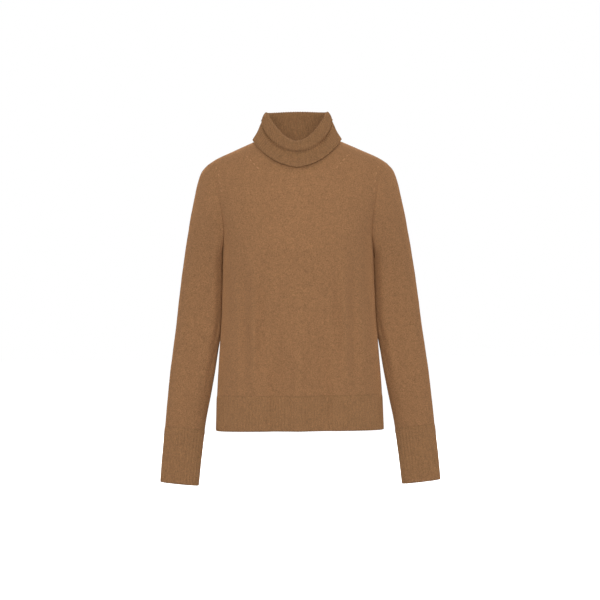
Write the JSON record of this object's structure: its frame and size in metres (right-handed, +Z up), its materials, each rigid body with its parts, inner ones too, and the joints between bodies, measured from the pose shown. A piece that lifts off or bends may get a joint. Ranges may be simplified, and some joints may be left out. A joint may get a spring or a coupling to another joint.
{
  "type": "turtleneck sweater",
  "caption": "Fitted fine-knit turtleneck sweater in its worn, hollow form: ribbed roll collar, set-in long sleeves, deep ribbed cuffs and hem; open at neck, hem and cuffs.",
  "frame": {"origin": "middle of the neck opening at the foot of the collar, where a wearer's neck and shoulders hold the sweater up", "axes": "+Z up from hem to collar, -Y to the garment's front, +X towards the wearer's left sleeve"},
  "size_m": [0.5744, 0.221, 0.7705],
  "materials": {
    "jersey": "camel melange wool and cashmere in fine plain knit, matt with a faint soft nap",
    "rib": "the same camel yarn knitted as two-and-two rib, matt"
  },
  "bodies": {
    "root": {"body_front": "jersey", "body_back": "jersey", "sleeve_left": "jersey", "sleeve_right": "jersey", "hem_rib_front": "rib", "hem_rib_back": "rib", "cuff_left": "rib", "cuff_right": "rib", "collar": "rib"}
  },
  "joints": []
}
